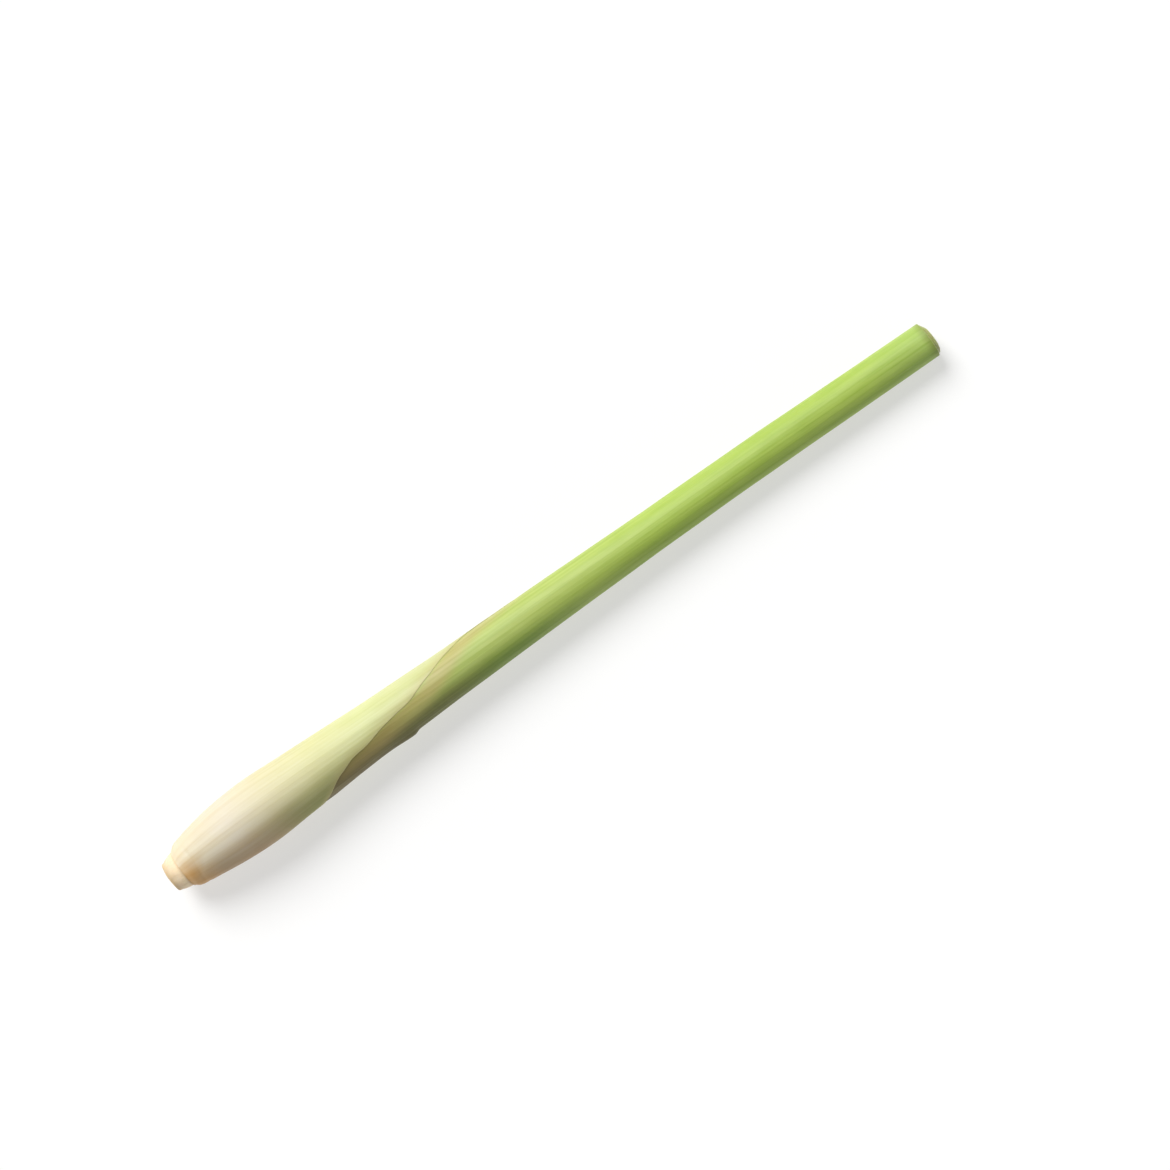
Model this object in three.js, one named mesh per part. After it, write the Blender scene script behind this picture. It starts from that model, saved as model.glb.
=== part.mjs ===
// A trimmed lemongrass stalk, lying on its side along X: cut base at -X, cut green tip at +X.
// Six leaf sheaths are rolled round one another on a short stem, with the youngest leaf in the
// middle. Millimetres, +Z up. The origin is under the middle of the stalk, on the surface.
import * as THREE from 'three';
import { mergeVertices } from 'three/addons/utils/BufferGeometryUtils.js';

// ---- driving dimensions ------------------------------------------------------------------

// Places along the stalk. The base is cut at BASE_CUT, and the inner rolls end at FURTHEST.
const BASE_CUT = 1.3;
const TRIM_AT = 223.9; // where the knife met the +Y side
const FURTHEST = 225.4;
const HEIGHT_TO_WIDTH = 0.97; // the stalk is a little oval
const FLAT_LEVEL = 0.985; // the underside is pressed flat at this share of its radius
const BULB_X = 27; // the widest place
const NODES = [5.1, 7, 9.5, 12.5, 16, 20]; // where each sheath is joined to the stem
const STEM_APEX = 25; // end of the stem, where the heart leaf starts
const HEART_START = STEM_APEX + 0.3;

// Shares of the stalk's radius.
const MIDRIB = 0.115; // a sheath's thickness at its midrib
const MARGIN = 0.02; // and at its thin margins
const GAP = 0.026; // room between two layers
const MARGIN_EASE = 45; // degrees over which the layer below swells out past a margin

// The stalk's half width along it.
const HALF_WIDTH = curve([
  [4.9, 5.35], [8, 6.3], [12, 7.02], [18, 7.86], [27, 8.37], [38, 7.88], [55, 7.0],
  [80, 6.2], [112, 5.66], [150, 5.12], [190, 4.85], [225, 4.72],
]);
// How far the middle line strays towards +Y; the bulb is at 0.
const BOW = curve([
  [0, -0.8], [12, -0.18], [27, 0], [90, 0.02], [110, 0.1], [140, -0.05], [175, -0.32],
  [200, -0.78], [225, -1.2],
]);
// The first sheath's free margin, in degrees from +Y over the top. It lies under the stalk near
// the base, crosses the top on a slant and goes under again on the +Y side.
const OUTER_MARGIN = curve([
  [4.9, 246], [30, 214], [41, 180], [45, 150], [48.5, 131], [52, 119], [58, 109], [66, 93],
  [72, 86], [78, 71], [84, 47], [92, 14], [104, -6], [125, -16], [160, -24], [225, -28],
]);
// Its other margin is tucked in near the base, and then runs along under the -Y side.
const TUCKED_MARGIN = curve([
  [4.9, -214], [30, -196], [41, -182], [50, -172], [60, -164], [112, -160], [140, -158],
  [170, -150], [225, -144],
]);
// A bump on the second sheath's -Y side, gentle towards the base and steep towards the tip.
const BUMP = { x: 68.9, before: 5, after: 1.1, height: 0.5, angle: 172, width: 15 };

// How far the cut end of a sheath stands past TRIM_AT, on its +Y side and on its -Y side.
const OUTER_PAST = [0, -0.7];
// From the outside in: where the two margins meet, how far they overlap near the base and at
// the tip, in degrees, a thickness factor, and past, as above.
const INNER_SHEATHS = [
  { name: 'second_sheath', meet: -92, overlap: [80, 44], scale: 1, past: [0.2, 0.4], colour: 0x9cc05a },
  { name: 'third_sheath', meet: 96, overlap: [90, 50], scale: 0.95, past: [0.5, 1], colour: 0xb0cc70 },
  { name: 'fourth_sheath', meet: -80, overlap: [90, 50], scale: 0.85, past: [0.8, 1.3], colour: 0xc0d684 },
  { name: 'fifth_sheath', meet: 84, overlap: [100, 60], scale: 0.75, past: [1.1, 1.4], colour: 0xccde98 },
  { name: 'sixth_sheath', meet: -98, overlap: [100, 60], scale: 0.65, past: [1.3, 1.5], colour: 0xd8e4aa },
];
// The heart leaf is rolled up inside them.
const HEART = { tucked: 60, turns: 3.25, scale: 0.37, past: [1.4, 1.4] };

// Stations along the stalk, closest together where it swells and where the margin crosses it.
const SWELLING = [5.1, 5.6, 7, 9.5, 12.5, 16, 20, 25.3, 32, 35.5, 39];
const CROSSING = [
  41, 43, 45, 46.8, 48.5, 50, 52, 55, 58, 62, 65, 67.3, 68.9, 69.7, 70.5, 72, 75, 78, 81, 84, 88,
  92, 98, 104, 114, 125, 145, 170,
];
const STATIONS = [...SWELLING, ...CROSSING, 198, TRIM_AT];
const HIDDEN_STATIONS = [...SWELLING, 45, 50, 58, 70, 84, 125, 170, TRIM_AT];
// The bare collar's outline, as places along and radii: a cut face, then a flare and a groove.
const COLLAR = [
  [BASE_CUT, 0], [BASE_CUT, 3.58], [1.5, 3.8], [2.4, 4.08], [3.4, 4.42], [4.2, 4.6], [4.7, 4.58],
];
const STEP = 0.15; // room between a step of the stem and the foot of its sheath
const ALL_ROUND = [0, 45, 90, 135, 180, 225, 270, 315];
const AROUND = 28; // columns of faces round the two outer sheaths
const AROUND_INSIDE = 22; // and round the hidden ones
const AROUND_HEART = 64; // and round all the turns of the heart leaf

// ---- helpers -----------------------------------------------------------------------------

/** A smooth function through a few [place, value] points. */
function curve(points) {
  const places = new Float32Array(points.map(([place]) => place));
  const values = new Float32Array(points.map(([, value]) => value));
  const interpolant = new THREE.CubicInterpolant(places, values, 1, new Float32Array(1));
  return (x) => interpolant.evaluate(THREE.MathUtils.clamp(x, places[0], places.at(-1)))[0];
}

/** 0 near the base and 1 at the tip, for sizes given as [base, tip]. */
const towardsTip = (x, [base, tip]) => THREE.MathUtils.lerp(base, tip, x / FURTHEST);

/** The height of the middle line: the stalk rests on its bulb and on its tip. */
function middleHeight(x) {
  const resting = (place) => HALF_WIDTH(place) * HEIGHT_TO_WIDTH * FLAT_LEVEL;
  return THREE.MathUtils.mapLinear(x, BULB_X, TRIM_AT, resting(BULB_X), resting(TRIM_AT));
}

/** The point at a place along, an angle in degrees and a distance from the middle line. */
function pointAt(x, angle, radius) {
  const turn = THREE.MathUtils.degToRad(angle);
  const up = Math.max(Math.sin(turn), -FLAT_LEVEL) * HEIGHT_TO_WIDTH * radius;
  const y = BOW(x) + Math.cos(turn) * radius;
  return [x - (BASE_CUT + FURTHEST) / 2, y, middleHeight(x) + up];
}

// ---- the rolled sheaths --------------------------------------------------------------------

/** The two margins of a sheath at x: it runs from the tucked one round to the outer one. */
function innerMargins({ meet, overlap }) {
  return (x) => {
    const spare = towardsTip(x, overlap) / 2;
    return { tucked: meet - spare, outer: meet + 360 + spare };
  };
}

const outerMargins = (x) => ({ tucked: TUCKED_MARGIN(x), outer: OUTER_MARGIN(x) });

/** A sheath's thickness at a winding angle: a lens, with the midrib halfway between margins. */
function thickness(sheath, x, winding) {
  const { tucked, outer } = sheath.margins(x);
  const halfWay = (outer + tucked) / 2;
  const share = Math.min(Math.abs(winding - halfWay) / ((outer - tucked) / 2), 1);
  return sheath.scale * (MARGIN + (MIDRIB - MARGIN) * (1 - share ** 2));
}

/** How deep one turn of a sheath pushes what lies under it, easing out past its margins. */
function turnDepth(sheath, x, winding) {
  const { tucked, outer } = sheath.margins(x);
  const past = Math.max(tucked - winding, winding - outer, 0);
  const ease = 1 - THREE.MathUtils.smoothstep(past, 0, MARGIN_EASE);
  return (thickness(sheath, x, winding) + GAP) * ease;
}

/** The depth of all the turns of a sheath that lie outside a winding angle. */
function depthOutside(sheath, x, winding) {
  let depth = 0;
  for (let above = winding + 360; above < 2000; above += 360) depth += turnDepth(sheath, x, above);
  return depth;
}

/** The radius, as a share of the stalk's, that the layers outside leave free at an angle. */
function roomInside(layers, x, angle) {
  const lowest = THREE.MathUtils.euclideanModulo(angle, 360) - 1080;
  return layers.reduce((room, layer) => room - depthOutside(layer, x, lowest), 1);
}

/** How high the bump stands at a winding angle, in millimetres. */
function bumpHeight(x, winding) {
  const along = (x - BUMP.x) / (x < BUMP.x ? BUMP.before : BUMP.after);
  const around = (winding - BUMP.angle) / BUMP.width;
  return BUMP.height * Math.exp(-(along ** 2 + around ** 2));
}

/** Where the knife left a sheath's end. */
function trimmedEnd({ past }, winding) {
  const towardsMinusY = (1 - Math.cos(THREE.MathUtils.degToRad(winding))) / 2;
  return TRIM_AT + THREE.MathUtils.lerp(past[0], past[1], towardsMinusY);
}

/** A flat strip with its length along X, rolled up into a sheath round the middle line. */
function rolledSheath(sheath) {
  const stations = [sheath.start, ...sheath.stations.filter((x) => x > sheath.start)];
  const rows = stations.length - 1;
  const strip = new THREE.BoxGeometry(rows, 1, 1, rows, sheath.around, 1);
  return warped(strip, (px, py, pz) => {
    const row = Math.round(px + rows / 2);
    let x = stations[row];
    const { tucked, outer } = sheath.margins(x);
    const winding = THREE.MathUtils.lerp(outer, tucked, py + 0.5);
    const share = sheath.surface(x, winding) - depthOutside(sheath, x, winding);
    const isInside = pz < 0;
    let radius = (share - (isInside ? thickness(sheath, x, winding) : 0)) * HALF_WIDTH(x);
    if (sheath.hasBump && !isInside) radius += bumpHeight(x, winding);
    if (row === rows) x = trimmedEnd(sheath, winding);
    return pointAt(x, winding, radius);
  });
}

/** Moves every vertex of a closed geometry and keeps it closed. */
function warped(geometry, move) {
  geometry.deleteAttribute('normal');
  geometry.deleteAttribute('uv');
  const closed = mergeVertices(geometry);
  const position = closed.getAttribute('position');
  for (let i = 0; i < position.count; i += 1) {
    position.setXYZ(i, ...move(position.getX(i), position.getY(i), position.getZ(i)));
  }
  closed.computeVertexNormals();
  return closed;
}

// ---- the stem ------------------------------------------------------------------------------

/** The stem: a bare collar with a cut face, then a cone with a step where each sheath is joined. */
function stem(layers) {
  const profile = [...COLLAR];
  layers.forEach((layer, index) => {
    const next = NODES[index + 1] ?? STEM_APEX;
    const within = layers.slice(0, index + 1);
    const core = (x) => Math.min(...ALL_ROUND.map((angle) => roomInside(within, x, angle)));
    for (const x of [NODES[index] - STEP, next - STEP]) {
      profile.push([x, core(x) * HALF_WIDTH(x) - STEP]);
    }
  });
  profile.push([STEM_APEX, 0]);
  const outline = profile.map(([x, radius]) => new THREE.Vector2(radius, x));
  return warped(new THREE.LatheGeometry(outline, AROUND), (px, py, pz) => {
    const angle = THREE.MathUtils.radToDeg(Math.atan2(px, pz));
    return pointAt(py, angle, Math.hypot(px, pz));
  });
}

// ---- assembly ------------------------------------------------------------------------------

const firstSheath = {
  name: 'outer_sheath', margins: outerMargins, scale: 1, past: OUTER_PAST, start: NODES[0],
  stations: STATIONS, around: AROUND, colour: 0xe9e2bd, surface: () => 1,
};
const sheaths = [firstSheath];
INNER_SHEATHS.forEach((spec, index) => {
  const outside = [...sheaths];
  sheaths.push({
    ...spec,
    margins: innerMargins(spec),
    start: NODES[index + 1],
    stations: index === 0 ? STATIONS : HIDDEN_STATIONS,
    around: index === 0 ? AROUND : AROUND_INSIDE,
    hasBump: index === 0,
    surface: (x, winding) => roomInside(outside, x, winding),
  });
});
const heartLeaf = {
  name: 'heart_leaf',
  margins: () => ({ tucked: HEART.tucked, outer: HEART.tucked + 360 * HEART.turns }),
  scale: HEART.scale,
  past: HEART.past,
  start: HEART_START,
  stations: HIDDEN_STATIONS,
  around: AROUND_HEART,
  colour: 0xe6ecc0,
  surface: (x, winding) => roomInside(sheaths, x, winding),
};

const stalk = new THREE.Group();

function addPiece(name, geometry, colour) {
  const material = new THREE.MeshStandardMaterial({ color: colour, roughness: 0.5, metalness: 0 });
  const mesh = new THREE.Mesh(geometry, material);
  mesh.name = name;
  stalk.add(mesh);
}

addPiece('basal_stem', stem(sheaths), 0xe6cfa2);
for (const sheath of [...sheaths, heartLeaf]) {
  addPiece(sheath.name, rolledSheath(sheath), sheath.colour);
}

export default stalk;
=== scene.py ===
"""The looks of a trimmed lemongrass stalk: rolled leaf sheaths on a short stem, lying on white.

Lengths are in millimetres until they reach a mesh, a light or the camera. x runs from the cut
base to the tip, and angles run in degrees from +Y over the top to -Y.
"""
import math

import bmesh
import bpy
import numpy as np
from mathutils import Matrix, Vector


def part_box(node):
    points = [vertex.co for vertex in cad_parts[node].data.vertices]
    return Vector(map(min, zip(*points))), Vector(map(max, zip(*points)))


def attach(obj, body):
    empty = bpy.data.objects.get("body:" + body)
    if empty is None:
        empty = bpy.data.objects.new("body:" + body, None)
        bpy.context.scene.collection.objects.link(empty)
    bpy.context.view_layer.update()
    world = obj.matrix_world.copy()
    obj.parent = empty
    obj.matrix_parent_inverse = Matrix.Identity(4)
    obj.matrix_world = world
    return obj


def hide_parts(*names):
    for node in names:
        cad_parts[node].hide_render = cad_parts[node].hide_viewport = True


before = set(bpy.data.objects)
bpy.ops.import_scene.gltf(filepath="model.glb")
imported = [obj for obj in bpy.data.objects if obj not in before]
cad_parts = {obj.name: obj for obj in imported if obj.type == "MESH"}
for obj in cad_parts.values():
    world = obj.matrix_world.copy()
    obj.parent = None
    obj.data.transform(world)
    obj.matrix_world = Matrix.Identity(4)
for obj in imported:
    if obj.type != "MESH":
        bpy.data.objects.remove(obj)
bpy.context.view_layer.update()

MM = 0.001

# ---- driving dimensions --------------------------------------------------------------------

# Places along the stalk. The base is cut at BASE_CUT, and the inner rolls end at FURTHEST.
BASE_CUT = 1.3
TRIM_AT = 223.9  # where the knife met the +Y side
FURTHEST = 225.4
BASE_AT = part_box("basal_stem")[0].x / MM - BASE_CUT  # the frame's x where the places start
HEIGHT_TO_WIDTH = 0.97
FLAT_LEVEL = 0.985  # the underside is pressed flat at this share of its radius
BULB_X = 27
NODES = [5.1, 7, 9.5, 12.5, 16, 20]  # where each sheath is joined to the stem
STEM_APEX = 25
HEART_START = STEM_APEX + 0.3

# Shares of the stalk's radius. Skin on skin needs less room than the CAD solids leave.
MIDRIB = 0.133
MARGIN = 0.012
GAP = 0.007
MARGIN_EASE = 40  # degrees over which the layer below swells out past a margin
ROUNDED = 0.13  # the margins are rounded over this distance

# The heart leaf is rolled the same all along, from its tucked margin's angle.
HEART_TUCKED, HEART_TURNS = 60, 3.25

# The bump on the second sheath: its place, then its reach to the base, to the tip and in degrees.
BUMP_AT, BUMP_ANGLE, BUMP_HEIGHT = 68.9, 172, 0.5
BUMP_BEFORE, BUMP_AFTER, BUMP_WIDTH = 5.0, 1.1, 15

# The foot of a sheath thins to an edge, and the outer sheath has a bead and a groove there.
FOOT_THINNING, FOOT_REACH = 0.45, 1.3
BEAD_AT, BEAD_HEIGHT, BEAD_REACH = 6.9, 0.07, 1.0
GROOVE_AT, GROOVE_DEPTH, GROOVE_REACH = 8.7, 0.09, 0.45

# The cut tip: the rolls slide out over SLIDE, and each cut end is uneven and has worn edges.
SLIDE = 6.0
RAGGED, BEVEL = 0.03, 0.12
CUT_STEPS = 4  # faces through the thickness of a cut end
BUNDLE_DEPTH = 0.36  # where the row of bundles lies, as a share of the thickness
BUNDLE_SPACING, BUNDLE_RADIUS = 0.46, 0.085


def curve(points):
    """A smooth function through a few (place, value) points, level past both ends."""
    places, values = np.array(points, float).T
    slopes = np.gradient(values, places)

    def at(x):
        x = np.clip(x, places[0], places[-1])
        i = np.clip(np.searchsorted(places, x, side="right") - 1, 0, len(places) - 2)
        width = places[i + 1] - places[i]
        t = (x - places[i]) / width
        ends = (1 + 2 * t) * (1 - t) ** 2 * values[i] + (3 - 2 * t) * t**2 * values[i + 1]
        return ends + (t * (1 - t) ** 2 * slopes[i] - t**2 * (1 - t) * slopes[i + 1]) * width

    return at


half_width = curve([
    (4.9, 5.35), (8, 6.3), (12, 7.02), (18, 7.86), (27, 8.37), (38, 7.88), (55, 7.0),
    (80, 6.2), (112, 5.66), (150, 5.12), (190, 4.85), (225, 4.72),
])
bow = curve([
    (0, -0.8), (12, -0.18), (27, 0), (90, 0.02), (110, 0.1), (140, -0.05), (175, -0.32),
    (200, -0.78), (225, -1.2),
])
outer_margin = curve([
    (4.9, 246), (30, 214), (41, 180), (45, 150), (48.5, 131), (52, 119), (58, 109), (66, 93),
    (72, 86), (78, 71), (84, 47), (92, 14), (104, -6), (125, -16), (160, -24), (225, -28),
])
tucked_margin = curve([
    (4.9, -214), (30, -196), (41, -182), (50, -172), (60, -164), (112, -160), (140, -158),
    (170, -150), (225, -144),
])


def smooth(value, low, high):
    """0 below low, 1 above high, and a smooth step between them."""
    t = np.clip((value - low) / (high - low), 0, 1)
    return t * t * (3 - 2 * t)


def ripple(x, angle, seed, waves=7, along=0.12, around=4):
    """A smooth seeded unevenness over the stalk, from about -1 to 1, longer along it."""
    rng = np.random.default_rng(seed)
    total = 0
    for _ in range(waves):
        turns = rng.integers(1, around + 1)
        pace, phase = rng.normal(0, along), rng.uniform(0, 6.3)
        total = total + np.sin(np.radians(angle) * turns + x * pace + phase)
    return total / math.sqrt(waves)


def bump_height(x, winding):
    """The second sheath's bump on the -Y side: gentle towards the base, steep after it."""
    reach = np.where(x < BUMP_AT, BUMP_BEFORE, BUMP_AFTER)
    turned = (winding - BUMP_ANGLE) / BUMP_WIDTH
    return BUMP_HEIGHT * np.exp(-(((x - BUMP_AT) / reach) ** 2) - turned**2)


def resting_height(x):
    return half_width(x) * HEIGHT_TO_WIDTH * FLAT_LEVEL


def middle_height(x):
    """The height of the middle line: the stalk rests on its bulb and on its tip."""
    low, high = resting_height(BULB_X), resting_height(TRIM_AT)
    return low + (high - low) * (x - BULB_X) / (TRIM_AT - BULB_X)


def points_at(x, angle, radius):
    """Points in metres at a place along, an angle and a distance from the middle line."""
    turn = np.radians(angle)
    up = np.maximum(np.sin(turn), -FLAT_LEVEL) * HEIGHT_TO_WIDTH * radius
    y = bow(x) + np.cos(turn) * radius
    return np.stack([BASE_AT + x, y, middle_height(x) + up], -1) * MM


# ---- how the sheaths are rolled ------------------------------------------------------------


class Sheath:
    """One leaf sheath: a strip rolled from its tucked margin round to its outer one.

    scale is its thickness as a share of the outer sheath's, and swell is what it gains by the tip.
    """

    def __init__(self, name, margins, start, outside, scale, past, swell=0.0):
        self.name, self.margins, self.start = name, margins, start
        self.outside, self.scale, self.past, self.swell = list(outside), scale, past, swell

    def thickness(self, x, winding):
        """A lens in section, with the midrib halfway between the margins."""
        tucked, outer = self.margins(x)
        share = np.abs(winding - (outer + tucked) / 2) / ((outer - tucked) / 2)
        scale = self.scale + self.swell * smooth(x, self.start, TRIM_AT)
        return scale * (MARGIN + (MIDRIB - MARGIN) * (1 - np.minimum(share, 1) ** 2))

    def turn_depth(self, x, winding):
        """How deep one turn pushes what lies under it, easing out past the margins."""
        tucked, outer = self.margins(x)
        past = np.maximum(np.maximum(tucked - winding, winding - outer), 0)
        return (self.thickness(x, winding) + GAP) * (1 - smooth(past, 0, MARGIN_EASE))

    def depth_outside(self, x, winding):
        """The depth of all of its turns that lie outside a winding angle."""
        return sum(self.turn_depth(x, winding + 360 * turn) for turn in range(1, 9))

    def surface(self, x, winding):
        """The share of the radius that the layers outside leave free."""
        lowest = np.mod(winding, 360) - 1080
        return 1 - sum(layer.depth_outside(x, lowest) for layer in self.outside)

    def end(self, winding):
        """How far its cut end stands past TRIM_AT; past gives that for +Y and for -Y."""
        towards_minus_y = (1 - np.cos(np.radians(winding))) / 2
        return self.past[0] + (self.past[1] - self.past[0]) * towards_minus_y


def inner_margins(meet, near_base, near_tip):
    """Margins that meet at an angle, with an overlap in degrees that shrinks towards the tip."""

    def margins(x):
        spare = (near_base + (near_tip - near_base) * x / FURTHEST) / 2
        return meet - spare, meet + 360 + spare

    return margins


def first_margins(x):
    """The outer sheath's margins; the free one is a little uneven."""
    wave = 2.2 * ripple(x, 0, 5, along=0.5) * smooth(x, 44, 52)
    return tucked_margin(x), outer_margin(x) + wave


def heart_margins(x):
    tucked = HEART_TUCKED + 0 * x
    return tucked, tucked + 360 * HEART_TURNS


def all_sheaths():
    """The sheaths from the outside in, each one knowing those outside it."""
    sheaths = [Sheath("outer_sheath", first_margins, NODES[0], (), 1.0, (0, -0.7))]
    # name, angle where the margins meet, overlaps near the base and the tip, scale, past
    inner = [
        ("second_sheath", -92, 80, 44, 1.0, (0.2, 0.4)),
        ("third_sheath", 96, 90, 50, 0.95, (0.5, 1)),
        ("fourth_sheath", -80, 90, 50, 0.85, (0.8, 1.3)),
        ("fifth_sheath", 84, 100, 60, 0.75, (1.1, 1.4)),
        ("sixth_sheath", -98, 100, 60, 0.65, (1.3, 1.5)),
    ]
    for node, (name, meet, near_base, near_tip, scale, past) in zip(NODES[1:], inner):
        margins = inner_margins(meet, near_base, near_tip)
        sheaths.append(Sheath(name, margins, node, sheaths, scale, past))
    heart = Sheath("heart_leaf", heart_margins, HEART_START, sheaths, 0.82, (1.4, 1.4), swell=0.28)
    return sheaths + [heart]


# ---- meshes ----------------------------------------------------------------------------------


def make_object(name, points, faces, material_index, values, materials):
    """A closed mesh object with smooth faces, a value per point for each name in values."""
    mesh = bpy.data.meshes.new(name)
    mesh.from_pydata(points.reshape(-1, 3).tolist(), [], faces.tolist())
    for key, numbers in values.items():
        attribute = mesh.attributes.new(key, "FLOAT", "POINT")
        attribute.data.foreach_set("value", np.ascontiguousarray(numbers, np.float32).ravel())
    for material in materials:
        mesh.materials.append(material)
    mesh.polygons.foreach_set("material_index", material_index.astype(np.int32))
    mesh.polygons.foreach_set("use_smooth", np.ones(len(faces), bool))
    piece = bpy.data.objects.new(name, mesh)
    bpy.context.collection.objects.link(piece)
    return piece


def weld(piece, distance=2e-7, sharp_degrees=50):
    """Joins points that coincide, drops faces with no area and marks the sharp edges."""
    shape = bmesh.new()
    shape.from_mesh(piece.data)
    bmesh.ops.remove_doubles(shape, verts=shape.verts, dist=distance)
    bmesh.ops.dissolve_degenerate(shape, edges=shape.edges, dist=distance)
    bmesh.ops.recalc_face_normals(shape, faces=shape.faces)
    shape.to_mesh(piece.data)
    shape.free()
    piece.data.set_sharp_from_angle(angle=math.radians(sharp_degrees))


def spacing(*zones):
    """The gap between rows at x, from zones given as (end of the zone, gap)."""
    return lambda x: next(gap for end, gap in zones if x < end)


def rows_between(start, end, gap_at):
    """Places from start to end, with gaps that follow gap_at(x)."""
    places = [start]
    while places[-1] < end:
        places.append(places[-1] + gap_at(places[-1]))
    places = np.array(places)
    return start + (places - start) * (end - start) / (places[-1] - start)


def grid_faces(rows, columns):
    """Quads over a grid whose rows close in a ring, and each quad's row."""
    row, column = np.meshgrid(np.arange(rows), np.arange(columns - 1), indexing="ij")
    after = (row + 1) % rows
    corners = [row * columns + column, row * columns + column + 1,
               after * columns + column + 1, after * columns + column]
    return np.stack(corners, -1).reshape(-1, 4), row.ravel()


def relief(sheath, x, winding):
    """Small uneven places in millimetres, the same in all layers, and the foot's own bead."""
    height = 0.035 * ripple(x, winding, 3) * smooth(x, 4, 12)
    height = height + 0.012 * ripple(x, winding, 4, waves=12, along=0.03, around=16)
    if sheath.name == "outer_sheath":
        wander = 0.25 * ripple(0, winding, 6, around=5)
        height = height + BEAD_HEIGHT * np.exp(-(((x - BEAD_AT) / BEAD_REACH) ** 2))
        groove = np.exp(-(((x - GROOVE_AT - wander) / GROOVE_REACH) ** 2))
        height = height - GROOVE_DEPTH * groove
    return height


def tints(sheath, x, winding):
    """How strong the warm and the olive tint are, 0 to 1; where in_shade lays them they are partly
    painted shade.
    """
    angle = np.mod(winding + 90, 360) - 90
    # in_shade is the -Y side, away from the key light: what it lays on the skin is painted shade.
    in_shade = smooth(angle, 88, 150) * (1 - smooth(angle, 174, 228))
    if sheath.name == "outer_sheath":
        foot = smooth(angle, 68, 114) * (1 - smooth(x, 6.8, 13.5)) * (1 - smooth(angle, 200, 260))
        # On the bulb the -Y side's warm and olive are partly a real pinkish-brown blush and partly
        # painted shade.
        warm = np.maximum(foot, in_shade * (1 - smooth(x, 22, 42)))
        return warm, in_shade * smooth(x, 18, 36) * (1 - smooth(x, 60, 110))
    past = angle - outer_margin(x)
    band = smooth(past, -10, 10) * (1 - smooth(past, 26, 59)) * (1 - smooth(x, 90, 118))
    low = smooth(angle, 92, 134) * (1 - smooth(x, 94, 138))
    band = band * (1 - 0.6 * low * smooth(x, 62, 72)) * (1 - 0.7 * smooth(angle, 125, 150))
    # The second sheath's olive is its real olive-brown low on the -Y side, plus painted shade from
    # in_shade.
    return band * smooth(x, 34, 42), np.maximum(low, 0.3 * in_shade)


def sheath_piece(sheath, gap_at, columns, materials):
    """The strip of a sheath as one closed mesh: outside, cut end, inside and foot in a ring."""
    places = rows_between(sheath.start, TRIM_AT, gap_at)
    steps = np.arange(1, CUT_STEPS) / CUT_STEPS
    x = np.concatenate([places, np.full(len(steps), TRIM_AT), places[::-1],
                        np.full(len(steps), sheath.start)])[:, None]
    depth = np.concatenate([0 * places, steps, 0 * places + 1, steps[::-1]])[:, None]
    tucked, outer = sheath.margins(x)
    even = np.linspace(0, 1, columns)
    share = np.concatenate([[0, 0.0004, 0.0012, 0.0025], even[1:-1], [0.9975, 0.9988, 0.9996, 1]])
    winding = outer + (tucked - outer) * share[None, :]

    thickness = sheath.thickness(x, winding) * half_width(x)
    from_margin = np.minimum(outer - winding, winding - tucked) * np.radians(half_width(x))
    rounding = np.sqrt(1 - (1 - np.clip(from_margin / ROUNDED, 0, 1)) ** 2)
    across = 0.5 + (depth - 0.5) * rounding  # the depth, drawn in to the middle at the margins
    top = (sheath.surface(x, winding) - sheath.depth_outside(x, winding)) * half_width(x)
    radius = top - across * thickness + relief(sheath, x, winding)
    at_foot = 1 - smooth(x, sheath.start, sheath.start + FOOT_REACH)
    radius = radius - FOOT_THINNING * (1 - across) * at_foot
    if sheath.name == "second_sheath":
        radius = radius + (1 - across) * bump_height(x, winding)

    at_tip = smooth(x, TRIM_AT - SLIDE, TRIM_AT)
    ragged = RAGGED * ripple(across * 9, winding * 5, 11, around=6)
    ragged = ragged * smooth(x, TRIM_AT - 0.5, TRIM_AT)
    bevel = BEVEL * np.abs(2 * across - 1) ** 3 * smooth(x, TRIM_AT - 0.1, TRIM_AT)
    shift = at_tip * (sheath.end(winding) + ragged) - bevel

    turned = np.abs(np.gradient(np.radians(winding), axis=1))
    arc = np.cumsum((top - thickness / 2) * turned, axis=1)

    points = points_at(x + shift, winding, radius)
    faces, row = grid_faces(len(x), len(share))
    count = len(places)
    cut = (row >= count - 1) & (row < count + CUT_STEPS - 1)
    inside = (row >= count + CUT_STEPS - 1) & (row < 2 * count + CUT_STEPS - 2)
    # warm and olive carry the tints, and on the -Y side they are partly painted shade.
    warm, olive = tints(sheath, x, winding)
    values = {
        "along": x + 0 * winding,
        "around": winding * 0.1,
        "rim": (outer - winding) * np.radians(half_width(x)),
        "tuck": (winding - tucked) * np.radians(half_width(x)),
        "depth": depth + 0 * winding,
        "arc": arc,
        "from_row": (depth - BUNDLE_DEPTH) * thickness,
        "warm": warm + 0 * winding,
        "olive": olive + 0 * winding,
    }
    slots = cut * 1 + inside * 2
    piece = make_object(sheath.name + "_skin", points, faces, slots, values, materials)
    weld(piece)
    return piece


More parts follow.
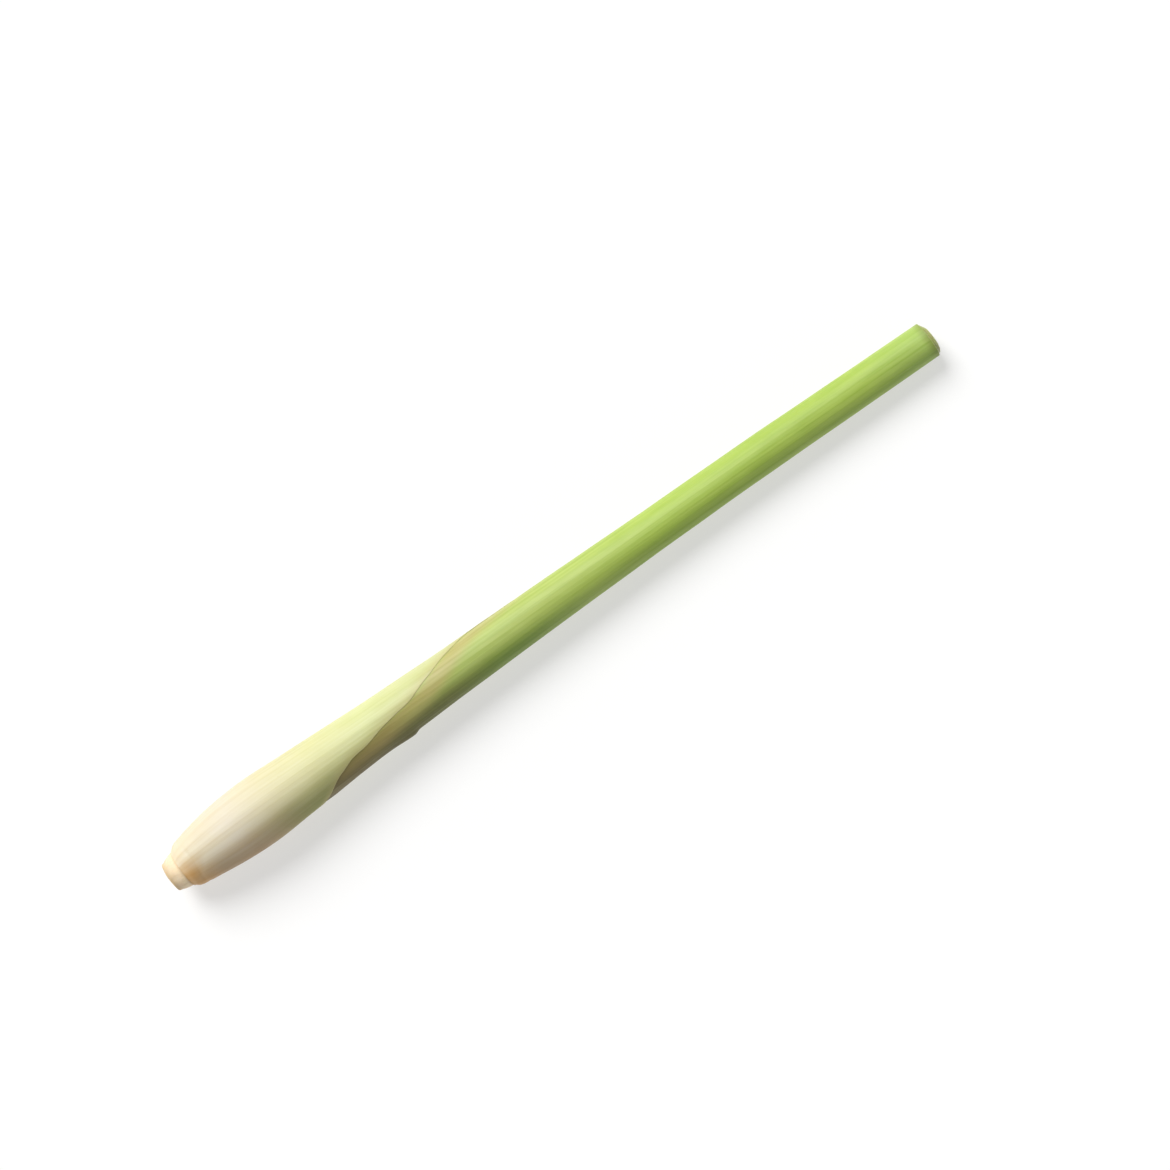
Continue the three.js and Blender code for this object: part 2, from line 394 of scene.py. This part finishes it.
def stem_piece(materials):
    """The stem: cut face, bare collar with its ring, then the cone that the sheaths hide."""
    sheaths = all_sheaths()[:-1]
    profile = [(BASE_CUT, 0.0)] + [(BASE_CUT, r) for r in np.linspace(0.2, 3.45, 18)]
    face_rows = len(profile)
    profile += [(BASE_CUT + x, r) for x, r in ((0.02, 3.53), (0.07, 3.63), (0.16, 3.72))]
    collar = curve([(1.5, 3.76), (2.1, 3.96), (2.9, 4.27), (3.6, 4.5), (4.15, 4.63), (4.5, 4.66),
                    (4.8, 4.6), (5.1, 4.52)])
    profile += [(x, float(collar(x))) for x in np.linspace(1.52, 5.05, 32)]
    for index, start in enumerate(NODES):
        end = NODES[index + 1] if index + 1 < len(NODES) else STEM_APEX - 1.5
        for x in np.linspace(start + 0.05, end - 0.1, 4):
            room = min(1 - sum(layer.depth_outside(x, angle - 1080.0)
                               for layer in sheaths[:index + 1]) for angle in range(0, 360, 30))
            profile.append((x, room * float(half_width(x)) - 0.05))
    profile += [(STEM_APEX - 0.6, 0.7), (STEM_APEX, 0.0)]
    x, radius = np.array(profile).T[:, :, None]
    angle = np.linspace(0, 360, 129)[None, :]
    foot = (1 - sheaths[0].depth_outside(NODES[0], angle - 1080)) * half_width(NODES[0])
    joining = smooth(x, 4.3, NODES[0]) * (x < NODES[0])
    radius = radius + joining * (foot - float(collar(NODES[0])))
    on_face = smooth(x, BASE_CUT + 0.4, BASE_CUT)
    uneven = on_face * 0.045 * ripple(radius * 2.2, angle, 21) * smooth(radius, 0, 1.2)
    rough = 0.03 * ripple(x * 5, angle * 2, 22, around=9) * smooth(x, BASE_CUT, 2.2) * (x < 4.8)
    points = points_at(x + uneven + 0.06, angle, radius + rough)
    faces, row = grid_faces(len(x), angle.shape[1])
    faces, row = faces[row < len(x) - 1], row[row < len(x) - 1]
    values = {"along": x + 0 * angle, "radial": radius + 0 * angle}
    on_side = (row >= face_rows - 1) * 1
    piece = make_object("basal_stem_flesh", points, faces, on_side, values, materials)
    weld(piece, distance=6e-7)
    return piece


# ---- materials -------------------------------------------------------------------------------


def colour(red, green, blue):
    """A colour given as 0 to 255 display values, as the linear one that nodes need."""
    return tuple(((c / 255 + 0.055) / 1.055) ** 2.4 if c > 10 else c / 3294 for c in
                 (red, green, blue)) + (1.0,)


class Paint:
    """A material whose nodes are made by short calls, each of which returns an output."""

    def __init__(self, name):
        self.material = bpy.data.materials.new(name)
        self.material.use_nodes = True
        self.tree = self.material.node_tree
        self.shader = self.tree.nodes["Principled BSDF"]

    def feed(self, socket, value):
        if isinstance(value, bpy.types.NodeSocket):
            self.tree.links.new(value, socket)
        else:
            socket.default_value = value

    def value(self, name):
        node = self.tree.nodes.new("ShaderNodeAttribute")
        node.attribute_name = name
        return node.outputs["Fac"]

    def math(self, operation, *values, clamp=False):
        node = self.tree.nodes.new("ShaderNodeMath")
        node.operation, node.use_clamp = operation, clamp
        for socket, value in zip(node.inputs, values):
            self.feed(socket, value)
        return node.outputs[0]

    def fade(self, value, low, high):
        """0 at low, 1 at high, smooth between them; high may be below low."""
        node = self.tree.nodes.new("ShaderNodeMapRange")
        node.interpolation_type = "SMOOTHSTEP"
        self.feed(node.inputs["Value"], value)
        rising = high > low
        node.inputs["From Min"].default_value = min(low, high)
        node.inputs["From Max"].default_value = max(low, high)
        node.inputs["To Min"].default_value = 0.0 if rising else 1.0
        node.inputs["To Max"].default_value = 1.0 if rising else 0.0
        return node.outputs["Result"]

    def along_leaf(self, along, around, seed=0.0):
        """Coordinates that follow the leaf, with patterns per millimetre each way."""
        node = self.tree.nodes.new("ShaderNodeCombineXYZ")
        self.feed(node.inputs[0], self.math("MULTIPLY", self.value("along"), along))
        self.feed(node.inputs[1], self.math("MULTIPLY", self.value("around"), around))
        node.inputs[2].default_value = seed
        return node.outputs[0]

    def in_space(self, along, across):
        """Coordinates in the piece's own space, with patterns per millimetre each way."""
        place = self.tree.nodes.new("ShaderNodeTexCoord")
        node = self.tree.nodes.new("ShaderNodeMapping")
        self.feed(node.inputs["Vector"], place.outputs["Object"])
        node.inputs["Scale"].default_value = (along / MM, across / MM, across / MM)
        return node.outputs["Vector"]

    def noise(self, vector, detail=2.0, roughness=0.5):
        node = self.tree.nodes.new("ShaderNodeTexNoise")
        self.feed(node.inputs["Vector"], vector)
        node.inputs["Scale"].default_value = 1.0
        node.inputs["Detail"].default_value = detail
        node.inputs["Roughness"].default_value = roughness
        return node.outputs["Fac"]

    def blend(self, share, first, second, mode="MIX"):
        node = self.tree.nodes.new("ShaderNodeMix")
        node.data_type, node.blend_type = "RGBA", mode
        self.feed(node.inputs["Factor"], share)
        colours = [socket for socket in node.inputs if socket.type == "RGBA"]
        self.feed(colours[0], first)
        self.feed(colours[1], second)
        return next(socket for socket in node.outputs if socket.type == "RGBA")

    def ramp(self, share, stops):
        node = self.tree.nodes.new("ShaderNodeValToRGB")
        self.feed(node.inputs["Fac"], share)
        elements = node.color_ramp.elements
        while len(elements) < len(stops):
            elements.new(0.5)
        for element, (place, tone) in zip(elements, stops):
            element.position, element.color = place, tone
        return node.outputs["Color"]

    def bump(self, height):
        """height is in millimetres."""
        node = self.tree.nodes.new("ShaderNodeBump")
        node.inputs["Strength"].default_value = 1.0
        node.inputs["Distance"].default_value = MM
        self.feed(node.inputs["Height"], height)
        return node.outputs["Normal"]

    def finish(self, base, roughness, normal, softness=0.12, depth=(1.0, 0.8, 0.35)):
        shader = self.shader.inputs
        self.feed(shader["Base Color"], base)
        self.feed(shader["Roughness"], roughness)
        self.feed(shader["Normal"], normal)
        shader["Subsurface Weight"].default_value = softness
        shader["Subsurface Radius"].default_value = depth
        shader["Subsurface Scale"].default_value = MM
        shader["Specular IOR Level"].default_value = 0.3
        return self.material


WARM_FOOT = colour(200, 157, 98)  # the honey patch at the foot
BULB_BLUSH_AND_SHADE = colour(170, 145, 110)  # the bulb's shaded side: partly a real pinkish-brown blush, partly painted shade
WARM_BAND = colour(182, 172, 112)  # beside the slanting margin
BROWN, OLIVE = colour(150, 134, 84), colour(111, 116, 54)
# The olive on the bulb's -Y side: partly a real olive blush, partly painted shade.
BULB_OLIVE_AND_SHADE = colour(140, 143, 76)
LEAF = colour(166, 187, 87)
DRY = colour(200, 184, 132)
MAUVE = colour(150, 112, 92)
FLESH = colour(206, 213, 150)


def along_stops(*stops):
    """Ramp stops given in millimetres from the base."""
    return [(x / FURTHEST, tone) for x, tone in stops]


def leaf_skin(name, seed, tones, streak_tones, warm_tones, olive_tones):
    """Leaf skin: colours along it, warm and olive tints that are partly painted shade, streaks,
    parallel veins and specks.
    """
    paint = Paint(name)
    place = paint.math("DIVIDE", paint.value("along"), FURTHEST)
    around = paint.value("around")
    wide = paint.noise(paint.along_leaf(0.018, 0.75, seed), 3.0)
    fine = paint.noise(paint.along_leaf(0.02, 3.0, seed + 9), 2.0)
    cloud = paint.noise(paint.along_leaf(0.1, 0.35, seed + 5), 2.0)
    grain = paint.noise(paint.along_leaf(2.5, 9.0, seed + 13), 2.0)
    specks = paint.noise(paint.along_leaf(1.1, 2.3, seed + 21), 1.0)
    sway = paint.math("MULTIPLY", paint.noise(paint.along_leaf(0.01, 0.5, seed + 3), 2.0), 14.0)
    veins = paint.math("SINE", paint.math("ADD", paint.math("MULTIPLY", around, 6.0), sway))
    between = paint.math("SINE", paint.math("ADD", paint.math("MULTIPLY", around, 18.0), sway))

    base = paint.ramp(place, tones)
    uneven = paint.math("ADD", 0.55, paint.math("MULTIPLY", wide, 0.8))
    for tint, tint_tones in (("olive", olive_tones), ("warm", warm_tones)):
        share = paint.math("MULTIPLY", paint.value(tint), uneven, clamp=True)
        base = paint.blend(share, base, paint.ramp(place, tint_tones))
    streaks = paint.ramp(place, streak_tones)
    for pattern, most in ((paint.fade(wide, 0.36, 0.68), 0.75), (paint.fade(fine, 0.4, 0.7), 0.4),
                          (paint.fade(veins, 0.2, 1.0), 0.3), (paint.fade(cloud, 0.4, 0.7), 0.4)):
        base = paint.blend(paint.math("MULTIPLY", pattern, most), base, streaks, "MULTIPLY")
    spotted = paint.math("MULTIPLY", paint.fade(specks, 0.78, 0.84), 0.45)
    base = paint.blend(spotted, base, colour(150, 128, 80))

    height = paint.math("MULTIPLY", wide, 0.05)
    for pattern, depth in ((veins, 0.006), (between, 0.0025), (fine, 0.02), (grain, 0.006)):
        height = paint.math("ADD", height, paint.math("MULTIPLY", pattern, depth))
    roughness = paint.math("ADD", 0.38, paint.math("MULTIPLY", grain, 0.18))
    return paint, base, roughness, height


def near_edge(paint, base, name, reach, tone, most):
    """Tints the skin within reach, in millimetres, of an edge that an attribute measures from."""
    return paint.blend(paint.math("MULTIPLY", paint.fade(paint.value(name), reach, 0.0), most),
                       base, tone)


def near_tip(paint, base, reach, tone, most):
    end = paint.fade(paint.value("along"), TRIM_AT - reach, TRIM_AT)
    return paint.blend(paint.math("MULTIPLY", end, most), base, tone)


def outer_skin():
    tones = along_stops(
        (5, colour(222, 206, 176)), (9, colour(213, 203, 177)), (22, colour(211, 202, 180)),
        (32, colour(208, 200, 164)), (46, colour(205, 202, 153)), (62, colour(203, 205, 151)),
        (86, colour(192, 193, 141)), (112, colour(178, 187, 124)), (224, colour(172, 186, 110)))
    streaks = along_stops((5, colour(249, 244, 234)), (26, colour(250, 247, 239)),
                          (60, colour(244, 246, 230)), (120, colour(236, 240, 212)))
    # Past the foot, the warm and olive tints on the bulb's -Y side are partly real blush and
    # partly painted shade.
    warm = along_stops((7, WARM_FOOT), (14, BULB_BLUSH_AND_SHADE))
    olive = along_stops((20, BULB_OLIVE_AND_SHADE), (60, BULB_OLIVE_AND_SHADE))
    paint, base, roughness, height = leaf_skin(
        "outer_sheath_skin", 1.0, tones, streaks, warm, olive)
    base = near_edge(paint, base, "rim", 3.2, WARM_BAND, 0.5)
    base = near_edge(paint, base, "rim", 0.4, DRY, 0.5)
    base = near_edge(paint, base, "tuck", 1.2, colour(140, 124, 78), 0.6)
    base = near_tip(paint, base, 2.0, OLIVE, 0.35)
    return paint.finish(base, roughness, paint.bump(height))


def green_skin():
    tones = along_stops((44, colour(174, 184, 110)), (90, colour(172, 185, 106)),
                        (112, colour(174, 188, 102)), (145, LEAF), (205, LEAF),
                        (224, colour(166, 188, 100)))
    streaks = along_stops((44, colour(238, 241, 222)), (224, colour(234, 242, 214)))
    warm = along_stops((54, BROWN), (64, colour(164, 148, 94)), (72, colour(180, 168, 108)),
                       (84, WARM_BAND))
    # Towards the tip the olive is laid only as painted shade on the -Y side; nearer the base it is
    # mostly the real olive-brown.
    olive = along_stops((52, colour(108, 92, 54)), (66, colour(105, 98, 50)), (82, OLIVE),
                        (96, colour(125, 149, 62)), (120, colour(119, 153, 60)),
                        (150, colour(132, 164, 72)))
    paint, base, roughness, height = leaf_skin(
        "second_sheath_skin", 2.0, tones, streaks, warm, olive)
    base = near_tip(paint, base, 2.4, OLIVE, 0.5)
    return paint.finish(base, roughness, paint.bump(height))


def hidden_skin():
    tones = along_stops((5, colour(206, 194, 164)), (60, colour(204, 206, 150)),
                        (210, colour(178, 194, 112)), (222, colour(152, 172, 84)))
    streaks = along_stops((5, colour(246, 240, 226)), (224, colour(226, 234, 200)))
    warm = along_stops((8, WARM_FOOT), (30, WARM_BAND))
    paint, base, roughness, height = leaf_skin(
        "hidden_skin", 3.0, tones, streaks, warm, along_stops((5, OLIVE)))
    base = near_tip(paint, base, 0.5, MAUVE, 0.4)
    return paint.finish(base, roughness, paint.bump(height))


def cut_flesh():
    """The cut through a sheath: pale flesh, a row of bundles near the outside, green skins."""
    paint = Paint("cut_flesh")
    depth = paint.value("depth")
    cells = paint.noise(paint.along_leaf(0.0, 6.0, 7.0), 2.0)
    base = paint.blend(cells, FLESH, colour(188, 200, 128))
    uneven = paint.noise(paint.along_leaf(0.0, 0.9, 27.0), 1.0)
    arc = paint.math("ADD", paint.value("arc"), paint.math("MULTIPLY", uneven, 0.8))
    sideways = paint.math("PINGPONG", arc, BUNDLE_SPACING / 2)
    inwards = paint.value("from_row")
    distance = paint.math("SQRT", paint.math("ADD", paint.math("MULTIPLY", sideways, sideways),
                                             paint.math("MULTIPLY", inwards, inwards)))
    dots = paint.fade(distance, BUNDLE_RADIUS + 0.03, BUNDLE_RADIUS - 0.03)
    bundles = paint.math("MULTIPLY", dots, 0.75)
    base = paint.blend(bundles, base, colour(150, 166, 92))
    blotches = paint.fade(paint.noise(paint.along_leaf(0.0, 0.5, 17.0), 1.0), 0.42, 0.58)
    rim = paint.blend(blotches, colour(138, 156, 72), MAUVE)
    base = paint.blend(paint.math("MULTIPLY", paint.fade(depth, 0.2, 0.02), 0.85), base, rim)
    base = paint.blend(paint.math("MULTIPLY", paint.fade(depth, 0.88, 1.0), 0.6), base,
                       colour(160, 174, 96))
    height = paint.math("ADD", paint.math("MULTIPLY", cells, 0.05),
                        paint.math("MULTIPLY", bundles, 0.03))
    return paint.finish(base, 0.5, paint.bump(height), softness=0.25)


def stem_skin():
    """The bare collar: pinkish cream, fibrous, browner at the knife's edge and in the groove."""
    paint = Paint("collar_skin")
    tones = along_stops((1.3, colour(192, 164, 122)), (2.0, colour(208, 186, 148)),
                        (3.0, colour(229, 208, 174)), (4.4, colour(236, 215, 180)),
                        (5.0, colour(212, 184, 144)), (5.6, WARM_FOOT))
    base = paint.ramp(paint.math("DIVIDE", paint.value("along"), FURTHEST), tones)
    fibres = paint.noise(paint.in_space(0.5, 2.6), 3.0)
    blotches = paint.noise(paint.in_space(0.35, 0.35), 2.0)
    base = paint.blend(paint.math("MULTIPLY", paint.fade(fibres, 0.45, 0.75), 0.4), base,
                       colour(208, 178, 138))
    base = paint.blend(paint.math("MULTIPLY", paint.fade(blotches, 0.45, 0.7), 0.3), base,
                       colour(220, 188, 160))
    height = paint.math("MULTIPLY", fibres, 0.08)
    return paint.finish(base, 0.5, paint.bump(height), softness=0.4, depth=(1.6, 1.25, 0.85))


def stem_cut():
    """The knife-cut face: cream flesh with faint rings, bundle dots and a browned rim."""
    paint = Paint("stem_cut")
    radial = paint.value("radial")
    blotches = paint.noise(paint.in_space(0.8, 0.8), 3.0)
    wander = paint.math("ADD", radial, paint.math("MULTIPLY", blotches, 1.0))
    base = paint.ramp(paint.math("DIVIDE", wander, 4.6), [
        (0.0, colour(216, 204, 150)), (0.45, colour(220, 200, 152)),
        (0.62, colour(206, 178, 126)), (0.7, colour(222, 202, 160)),
        (0.86, colour(214, 186, 140)), (1.0, colour(176, 132, 86))])
    rings = paint.fade(paint.math("SINE", paint.math("MULTIPLY", wander, 9.0)), 0.3, 1.0)
    base = paint.blend(paint.math("MULTIPLY", rings, 0.3), base, colour(196, 164, 112))
    cells = paint.tree.nodes.new("ShaderNodeTexVoronoi")
    paint.feed(cells.inputs["Vector"], paint.in_space(0.0, 2.4))
    cells.inputs["Scale"].default_value = 1.0
    dots = paint.math("MULTIPLY", paint.fade(cells.outputs["Distance"], 0.3, 0.12), 0.75)
    base = paint.blend(dots, base, colour(168, 134, 84))
    height = paint.math("SUBTRACT", paint.math("MULTIPLY", blotches, 0.12),
                        paint.math("MULTIPLY", dots, 0.04))
    return paint.finish(base, 0.55, paint.bump(height), softness=0.2)


# ---- assembly --------------------------------------------------------------------------------


def build_stalk():
    outer, green, hidden, cut = outer_skin(), green_skin(), hidden_skin(), cut_flesh()
    skins = {"outer_sheath": outer, "second_sheath": green}
    fine = spacing((10, 0.25), (52, 0.45), (66, 0.7), (72, 0.35), (115, 0.7), (220, 1.1),
                   (230, 0.3))
    coarse = spacing((216, 4.0), (230, 0.4))
    columns = {"outer_sheath": 130, "second_sheath": 130, "heart_leaf": 250}
    for sheath in all_sheaths():
        on_show = sheath.name in skins
        materials = [skins.get(sheath.name, hidden), cut, hidden]
        piece = sheath_piece(sheath, fine if on_show else coarse, columns.get(sheath.name, 120),
                             materials)
        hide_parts(sheath.name)
        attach(piece, "root")
    stem = stem_piece([stem_cut(), stem_skin()])
    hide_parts("basal_stem")
    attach(stem, "root")


# ---- stage -----------------------------------------------------------------------------------

KEY_ELEVATION = 45  # degrees
KEY_POWER, KEY_SPREAD = 3.65, 34  # the spread, in degrees, softens the shadow
KEY_TINT = (0.95, 0.965, 1.0)
FLOOR_ALBEDO, FLOOR_GLOW = 0.43, 0.53
SKY = 0.2
KEY_SIDE = (-0.165, 0.986)  # where the key light stands, over the bed that the stalk lies on
VIEW_AT = (9.4, -1.3, 6.0)  # what the camera looks at
VIEW_WIDTH = 280.8
LENS, SENSOR = 100.0, 36.0
ROLL = -35.53  # the stalk points up and to the right in the picture


def build_stage():
    """A white floor that glows a little, so that shadows stay light, and a white horizon."""
    paint = Paint("floor_white")
    neutral = [FLOOR_ALBEDO / tint for tint in KEY_TINT]  # takes the key's tint out again
    paint.shader.inputs["Base Color"].default_value = (*neutral, 1)
    paint.shader.inputs["Roughness"].default_value = 0.9
    paint.shader.inputs["Specular IOR Level"].default_value = 0.0
    paint.shader.inputs["Emission Color"].default_value = (1, 1, 1, 1)
    paint.shader.inputs["Emission Strength"].default_value = FLOOR_GLOW
    mesh = bpy.data.meshes.new("floor")
    reach = 20.0
    corners = [(-reach, -reach, 0), (reach, -reach, 0), (reach, reach, 0), (-reach, reach, 0)]
    mesh.from_pydata(corners, [], [(0, 1, 2, 3)])
    mesh.materials.append(paint.material)
    floor = bpy.data.objects.new("floor", mesh)
    bpy.context.collection.objects.link(floor)

    key = bpy.data.lights.new("key", "SUN")
    key.energy, key.angle, key.color = KEY_POWER, math.radians(KEY_SPREAD), KEY_TINT
    lamp = bpy.data.objects.new("key", key)
    towards = Vector((*KEY_SIDE, math.tan(math.radians(KEY_ELEVATION))))
    lamp.rotation_euler = towards.to_track_quat("Z", "Y").to_euler()
    bpy.context.collection.objects.link(lamp)

    scene = bpy.context.scene
    scene.world = bpy.data.worlds.new("white_room")
    scene.world.use_nodes = True
    tree = scene.world.node_tree
    direction = tree.nodes.new("ShaderNodeTexCoord")
    height = tree.nodes.new("ShaderNodeSeparateXYZ")
    fade = tree.nodes.new("ShaderNodeMapRange")
    fade.interpolation_type = "SMOOTHSTEP"
    for socket, value in (("From Min", 0.2), ("From Max", 0.5), ("To Min", 1.02),
                          ("To Max", SKY)):
        fade.inputs[socket].default_value = value
    tree.links.new(direction.outputs["Generated"], height.inputs[0])
    tree.links.new(height.outputs["Z"], fade.inputs["Value"])
    tree.links.new(fade.outputs["Result"], tree.nodes["Background"].inputs["Strength"])
    tree.nodes["Background"].inputs["Color"].default_value = (1, 1, 1, 1)
    scene.view_settings.view_transform = "Standard"


def build_camera():
    camera = bpy.data.cameras.new("camera")
    camera.lens, camera.sensor_width = LENS, SENSOR
    eye = bpy.data.objects.new("camera", camera)
    bpy.context.collection.objects.link(eye)
    distance = VIEW_WIDTH * LENS / SENSOR
    eye.location = (VIEW_AT[0] * MM, VIEW_AT[1] * MM, (VIEW_AT[2] + distance) * MM)
    eye.rotation_euler = (0, 0, math.radians(ROLL))
    camera.clip_start, camera.clip_end = 0.01, 100
    bpy.context.scene.camera = eye


build_stalk()
build_stage()
build_camera()
